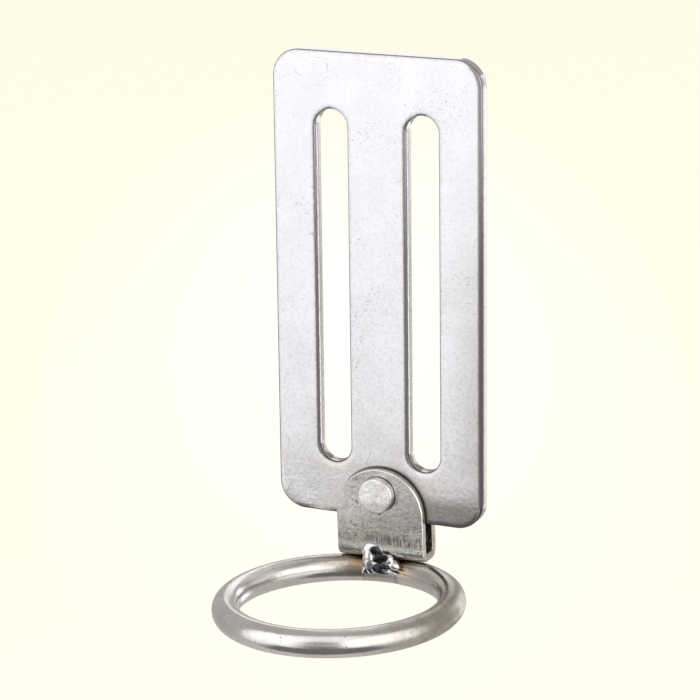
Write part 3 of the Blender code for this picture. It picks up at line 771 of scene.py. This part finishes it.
# Bright-drawn stainless wire, pressed cold: the palest piece, softly dappled, and painted darker
# towards its foot as shade.
pressed, tree = new_material("pressed_stainless_rivet")
place = add_node(tree, "TexCoord")["Object"]
clouds = add_node(
    tree, "TexNoise", {"Vector": place, "Scale": 1 / (1.6 * MM), "Detail": 4.0, "Roughness": 0.6}
)[0]
mottle = add_node(
    tree, "TexNoise", {"Vector": place, "Scale": 1 / (0.5 * MM), "Detail": 3.0, "Roughness": 0.6}
)[0]
cloudy = add_node(tree, "MapRange", {"Value": clouds, "From Min": 0.4, "From Max": 0.7})[0]
mottled = add_node(
    tree, "MapRange", {"Value": mottle, "From Min": 0.52, "From Max": 0.78, "To Max": 0.6}
)[0]
height_up = add_node(tree, "SeparateXYZ", {"Vector": place})["Z"]
# Painted shade: darker towards the foot.
span = {"From Min": -30.2 * MM, "From Max": -30.9 * MM, "To Max": 0.35}
foot_shade = add_node(tree, "MapRange", {"Value": height_up, **span})[0]
colour = linear("#F6F5F4")
for amount, stain in ((cloudy, "#E0DEDA"), (mottled, "#A9A5A0"), (foot_shade, "#9F9B95")):
    colour = add_node(tree, "Mix", {"data_type": "RGBA", 0: amount, 6: colour, 7: linear(stain)})[2]
relief = {}
for height, rise in ((clouds, 0.05), (mottle, 0.01)):
    relief["Normal"] = add_node(tree, "Bump", {"Height": height, "Distance": rise * MM, **relief})[0]
span = {"From Min": 0.3, "From Max": 0.8, "To Min": 0.2, "To Max": 0.32}
roughness = add_node(tree, "MapRange", {"Value": mottle, **span})[0]
steel = add_node(
    tree, "BsdfPrincipled", {"Metallic": 1.0, "Base Color": colour, "Roughness": roughness, **relief}
)[0]
add_node(tree, "OutputMaterial", {"Surface": steel})
rivet.data.materials.append(pressed)
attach(rivet, "swivel")
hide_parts("swivel_rivet")


# The tool ring. A length of 4 mm round stainless bar, bent to a circle and polished, whose two
# ends stop short of each other under the fold, where the weld joins them.
BAR_RADIUS = 2.0 * MM
RING_RADIUS = 16.0 * MM
RING_GAP = 5.7 * MM
END_BREAK = 0.15 * MM
BAR_BACK = Vector((-0.4 * MM, -0.1 * MM, -12.1 * MM))
ALONG_BELT = (0.0, math.radians(90), 0.0)

ring_centre = BAR_BACK - Vector((0.0, RING_RADIUS, 0.0))
half_gap = math.asin(RING_GAP / 2 / RING_RADIUS)
ring = begin(
    "round_bar_ring",
    bpy.ops.mesh.primitive_circle_add,
    vertices=56,
    radius=BAR_RADIUS,
    fill_type="NGON",
    location=BAR_BACK,
    rotation=ALONG_BELT,
)
# A copy of the bar's end is spun to one side of the gap, and the bar is spun on from there.
bpy.ops.mesh.spin(steps=1, angle=half_gap, center=ring_centre, axis=(0, 0, 1), dupli=True)
pick("faces", lambda face: face.calc_center_median().x < 0.0)
bpy.ops.mesh.delete(type="VERT")
bpy.ops.mesh.select_all(action="SELECT")
bpy.ops.mesh.spin(steps=288, angle=math.tau - 2 * half_gap, center=ring_centre, axis=(0, 0, 1))
outward()
modify(ring, "BEVEL", width=END_BREAK, segments=3, limit_method="ANGLE", angle_limit=math.radians(60))
smooth(ring)


def map_bar(piece):
    """Gives a bent bar a UV map in metres: u runs along the ring, v round the bar."""
    uv = piece.data.uv_layers.new(name="along_bar")
    for polygon in piece.data.polygons:
        first = None
        for loop in polygon.loop_indices:
            out = piece.data.vertices[piece.data.loops[loop].vertex_index].co - ring_centre
            along = math.atan2(-out.x, out.y)
            around = math.atan2(out.z, math.hypot(out.x, out.y) - RING_RADIUS)
            if first is None:
                first = (along, around)
            along += math.tau * round((first[0] - along) / math.tau)
            around += math.tau * round((first[1] - around) / math.tau)
            uv.data[loop].uv = (along * RING_RADIUS, around * BAR_RADIUS)


map_bar(ring)
hang(ring)

# Polished stainless bar: close to a mirror, but drawn out along the bar in fine lines by the
# polishing belt, with a rippled skin where it was bent, duller at its back and right, and a brown
# and straw heat tint that fades away from the weld, sooner downwards than along the bar. The real
# lines are finer than a pixel of the picture, so they are drawn 0.28 mm wide.
HEAT_SQUASH = 2.2
HEAT_MIDDLE = (0.0, -0.1 * MM, -39.9 * HEAT_SQUASH * MM)
polished, tree = new_material("polished_stainless_bar")
coordinates = add_node(tree, "TexCoord")
place = coordinates["Object"]
sides = add_node(tree, "SeparateXYZ", {"Vector": place})
belt_lines = add_node(tree, "Mapping", {"Vector": coordinates["UV"], "Scale": (0.06, 1.0, 1.0)})["Vector"]
belt_lines = add_node(
    tree, "TexNoise", {"Vector": belt_lines, "Scale": 1 / (0.28 * MM), "Detail": 3.0, "Roughness": 0.7}
)[0]
clouds = add_node(
    tree, "TexNoise", {"Vector": place, "Scale": 1 / (4.5 * MM), "Detail": 4.0, "Roughness": 0.6}
)[0]
ripple = add_node(
    tree, "TexNoise", {"Vector": place, "Scale": 1 / (1.3 * MM), "Detail": 3.0, "Roughness": 0.6}
)[0]
cloudy = add_node(tree, "MapRange", {"Value": clouds, "From Min": 0.35, "From Max": 0.7})[0]
lined = add_node(
    tree, "MapRange", {"Value": belt_lines, "From Min": 0.45, "From Max": 0.75, "To Max": 0.4}
)[0]
dull = add_node(tree, "MapRange", {"Value": sides["X"], "From Min": 9 * MM, "From Max": 16.5 * MM})[0]
span = {"From Min": -16 * MM, "From Max": -6 * MM, "To Max": 0.4}
at_back = add_node(tree, "MapRange", {"Value": sides["Y"], **span})[0]
dull = add_node(tree, "Math", {"operation": "MAXIMUM", 0: dull, 1: at_back})[0]
uneven = add_node(tree, "MapRange", {"Value": ripple, "From Min": 0.3, "From Max": 0.7, "To Min": 0.6})[0]
dull = add_node(tree, "Math", {"operation": "MULTIPLY", 0: dull, 1: uneven})[0]
from_weld = add_node(tree, "Mapping", {"Vector": place, "Scale": (1.0, 1.0, HEAT_SQUASH)})["Vector"]
from_weld = add_node(tree, "VectorMath", {"operation": "DISTANCE", 0: from_weld, 1: HEAT_MIDDLE})["Value"]
straw = add_node(tree, "MapRange", {"Value": from_weld, "From Min": 9.5 * MM, "From Max": 5.0 * MM})[0]
patches = add_node(tree, "TexNoise", {"Vector": place, "Scale": 1 / (2.6 * MM), "Detail": 3.0})[0]
patches = add_node(
    tree, "MapRange", {"Value": patches, "From Min": 0.35, "From Max": 0.65, "To Max": 0.7}
)[0]
straw = add_node(tree, "Math", {"operation": "MULTIPLY", 0: straw, 1: patches})[0]
burnt = add_node(tree, "MapRange", {"Value": from_weld, "From Min": 7.5 * MM, "From Max": 3.4 * MM})[0]
patches = add_node(tree, "TexNoise", {"Vector": place, "Scale": 1 / (2.0 * MM), "Detail": 3.0})[0]
patches = add_node(tree, "MapRange", {"Value": patches, "From Min": 0.25, "From Max": 0.55})[0]
burnt = add_node(tree, "Math", {"operation": "MULTIPLY", 0: burnt, 1: patches})[0]
pits = add_node(tree, "TexNoise", {"Vector": place, "Scale": 1 / (0.36 * MM), "Detail": 1.0})[0]
pits = add_node(tree, "MapRange", {"Value": pits, "From Min": 0.68, "From Max": 0.76})[0]
patches = add_node(tree, "TexNoise", {"Vector": place, "Scale": 1 / (7 * MM), "Detail": 1.0})[0]
patches = add_node(tree, "MapRange", {"Value": patches, "From Min": 0.42, "From Max": 0.55})[0]
pits = add_node(tree, "Math", {"operation": "MULTIPLY", 0: pits, 1: patches})[0]
colour = linear("#ECEAE7")
for amount, stain in (
    (cloudy, "#DCD9D4"),
    (lined, "#B3ADA6"),
    (dull, "#ADA598"),
    (straw, "#BBA98C"),
    (burnt, "#8C6E55"),
    (pits, "#6A6058"),
):
    colour = add_node(tree, "Mix", {"data_type": "RGBA", 0: amount, 6: colour, 7: linear(stain)})[2]
relief = {}
for height, rise in ((ripple, 0.022), (belt_lines, 0.005)):
    relief["Normal"] = add_node(tree, "Bump", {"Height": height, "Distance": rise * MM, **relief})[0]
span = {"From Min": 0.3, "From Max": 0.75, "To Min": 0.11, "To Max": 0.2}
roughness = add_node(tree, "MapRange", {"Value": clouds, **span})[0]
roughness = add_node(tree, "Math", {"operation": "MULTIPLY_ADD", 0: dull, 1: 0.2, 2: roughness})[0]
steel = add_node(
    tree, "BsdfPrincipled", {"Metallic": 1.0, "Base Color": colour, "Roughness": roughness, **relief}
)[0]
add_node(tree, "OutputMaterial", {"Surface": steel})
ring.data.materials.append(polished)
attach(ring, "swivel")
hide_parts("tool_ring")


# The joint. The gap between the ring's ends is filled with weld metal and ground back almost
# flush, which leaves a flat grey stretch of bar between two fine seams.
JOINT_RADIUS = 1.96 * MM
SEAM = 0.07 * MM
GRINDING_ANGLE = math.radians(62)

half_joint = half_gap - SEAM / RING_RADIUS
joint = begin(
    "ground_joint",
    bpy.ops.mesh.primitive_circle_add,
    vertices=56,
    radius=JOINT_RADIUS,
    fill_type="NGON",
    location=BAR_BACK,
    rotation=ALONG_BELT,
)
bpy.ops.transform.rotate(value=-half_joint, orient_axis="Z", center_override=ring_centre)
bpy.ops.mesh.spin(steps=12, angle=2 * half_joint, center=ring_centre, axis=(0, 0, 1))
outward()
smooth(joint)
map_bar(joint)
hang(joint)

# Ground weld metal: pale and dull beside the polished bar, with slanting grinding lines. They too are
# drawn coarser than they are, 0.2 mm wide.
ground, tree = new_material("ground_weld_metal")
bar_map = add_node(tree, "TexCoord")["UV"]
grinding = add_node(
    tree,
    "Mapping",
    {"Vector": bar_map, "Rotation": (0.0, 0.0, GRINDING_ANGLE), "Scale": (0.12, 1.0, 1.0)},
)["Vector"]
grinding = add_node(
    tree, "TexNoise", {"Vector": grinding, "Scale": 1 / (0.2 * MM), "Detail": 3.0, "Roughness": 0.7}
)[0]
lined = add_node(tree, "MapRange", {"Value": grinding, "From Min": 0.4, "From Max": 0.7})[0]
colour = add_node(
    tree, "Mix", {"data_type": "RGBA", 0: lined, 6: linear("#CFCBC2"), 7: linear("#B4AFA6")}
)[2]
relief = add_node(tree, "Bump", {"Height": grinding, "Distance": 0.012 * MM})[0]
steel = add_node(
    tree, "BsdfPrincipled", {"Metallic": 1.0, "Roughness": 0.36, "Base Color": colour, "Normal": relief}
)[0]
add_node(tree, "OutputMaterial", {"Surface": steel})
joint.data.materials.append(ground)
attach(joint, "swivel")
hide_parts("ring_weld")


# The weld. One bead of bright stainless weld metal that ran from the joint up over the fold onto
# the front leaf, and froze in overlapping lenses and lobes with creases between them.
WELD_SKIN = 0.06 * MM
SEED_RADIUS = 0.4 * MM
SEED_PLACE = (0, -2.0 * MM, -10.5 * MM)
DROPS = (
    # Middle from the rivet and half sizes in millimetres, then lean to the right, tilt down and turn
    # to the right in degrees
    ("cap on the leaf", (-1.40, -2.45, -8.78), (1.60, 0.85, 1.50), (12, 0, 0)),
    ("column", (-1.55, -2.55, -10.10), (1.18, 1.12, 2.05), (-6, 0, 0)),
    ("body over the bar", (-0.20, -2.30, -10.95), (2.30, 1.25, 1.20), (4, 0, 0)),
    ("upper lens", (-0.35, -3.05, -8.55), (1.12, 0.34, 0.70), (28, 4, 20)),
    ("lower lens", (0.50, -3.32, -9.42), (1.28, 0.36, 0.72), (-14, 10, 15)),
    ("right flank", (1.65, -2.80, -9.75), (0.65, 0.70, 0.85), (-10, 0, 0)),
    ("right lobe", (2.15, -2.60, -10.40), (1.15, 0.90, 0.70), (30, 0, 0)),
    ("left foot", (-2.55, -2.60, -11.40), (0.26, 0.45, 0.95), (24, 0, 0)),
    ("left toe", (-1.95, -2.85, -11.60), (0.85, 0.42, 0.48), (8, 0, 0)),
    ("middle foot", (-1.80, -3.10, -11.30), (0.16, 0.40, 0.90), (-22, 0, 0)),
    ("right toe", (1.70, -2.80, -11.45), (1.10, 0.42, 0.28), (18, 0, 0)),
    ("bead", (0.05, -3.40, -10.98), (0.32, 0.28, 0.32), (0, 0, 0)),
)
BRIGHT_FEET = ("middle foot", "left foot", "right toe")
SKINS = (
    # Middle from the rivet and half width and height of each oxide-skinned patch in millimetres, and
    # its lean to the right in degrees
    ("upper lens", (-0.15, -8.50), (1.08, 0.60), 28),
    ("lower lens", (0.52, -9.42), (1.20, 0.64), -14),
    ("round the bead", (0.50, -11.10), (1.45, 0.90), 10),
    ("left hollow", (-1.90, -11.55), (0.95, 0.50), 8),
)


def turn(degrees, axis, centre):
    """Turns what is selected by the right-hand rule."""
    bpy.ops.transform.rotate(value=-math.radians(degrees), orient_axis=axis, center_override=centre)


# A seed that ends up inside, and the drops round it, are melted into one skin.
weld = begin(
    "weld_bead",
    bpy.ops.mesh.primitive_ico_sphere_add,
    subdivisions=2,
    radius=SEED_RADIUS,
    location=SEED_PLACE,
)
for _, place_mm, half_sizes, (lean, tilt, to_right) in DROPS:
    drop_middle = tuple(value * MM for value in place_mm)
    bpy.ops.mesh.select_all(action="DESELECT")
    bpy.ops.mesh.primitive_ico_sphere_add(subdivisions=4, radius=1.0 * MM, location=drop_middle)
    stretch(half_sizes, drop_middle)
    turn(lean, "Y", drop_middle)
    turn(tilt, "X", drop_middle)
    turn(to_right, "Z", drop_middle)
bpy.ops.object.mode_set(mode="OBJECT")
modify(weld, "REMESH", mode="VOXEL", voxel_size=WELD_SKIN)
modify(weld, "SMOOTH", factor=0.5, iterations=3)


def within(spot, middle, half_width, half_height, lean):
    """True where a spot seen from the front lies inside a leaning oval."""
    away = Vector((spot.x - middle[0], spot.z - middle[-1]))
    away.rotate(Matrix.Rotation(math.radians(lean), 2))
    return (away.x / half_width) ** 2 + (away.y / half_height) ** 2 < 1.0


def under_skin(face):
    """True for a face of the weld that looks forward inside an oxide-skinned patch, clear of the feet,
    which stay bright."""
    spot = face.calc_center_median() / MM
    for name, middle, half_sizes, (lean, _, _) in DROPS:
        if name in BRIGHT_FEET and within(spot, middle, 1.1 * half_sizes[0], 1.1 * half_sizes[2], lean):
            return False
    return face.normal.y < -0.2 and any(
        within(spot, middle, *half_sizes, lean) for _, middle, half_sizes, lean in SKINS
    )


# Bright weld metal, a clean liquid-smooth mirror, a little wavy. Where it froze last it has a thin
# grey-green skin of oxide, dark and almost as smooth.
for name, wave, detail, low, high, colours, rise, roughness in (
    ("bright_weld_metal", 0.9, 2.0, 0.4, 0.7, ("#E4E4E8", "#CFCDCC"), 0.04, 0.08),
    ("oxide_skinned_weld_metal", 0.5, 3.0, 0.35, 0.65, ("#4B504F", "#232628"), 0.03, 0.16),
):
    molten, tree = new_material(name)
    place = add_node(tree, "TexCoord")["Object"]
    waves = add_node(tree, "TexNoise", {"Vector": place, "Scale": 1 / (wave * MM), "Detail": detail})[0]
    wavy = add_node(tree, "MapRange", {"Value": waves, "From Min": low, "From Max": high})[0]
    crest, hollow = (linear(colour) for colour in colours)
    colour = add_node(tree, "Mix", {"data_type": "RGBA", 0: wavy, 6: crest, 7: hollow})[2]
    relief = add_node(tree, "Bump", {"Height": waves, "Distance": rise * MM})[0]
    metal = add_node(
        tree,
        "BsdfPrincipled",
        {"Metallic": 1.0, "Roughness": roughness, "Base Color": colour, "Normal": relief},
    )[0]
    add_node(tree, "OutputMaterial", {"Surface": metal})
    weld.data.materials.append(molten)
work_on(weld)
bpy.ops.object.mode_set(mode="EDIT")
pick("faces", under_skin)
weld.active_material_index = 1
bpy.ops.object.material_slot_assign()
bpy.ops.object.mode_set(mode="OBJECT")
smooth(weld, angle=60.0)
hang(weld)
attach(weld, "swivel")
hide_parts("ring_weld")
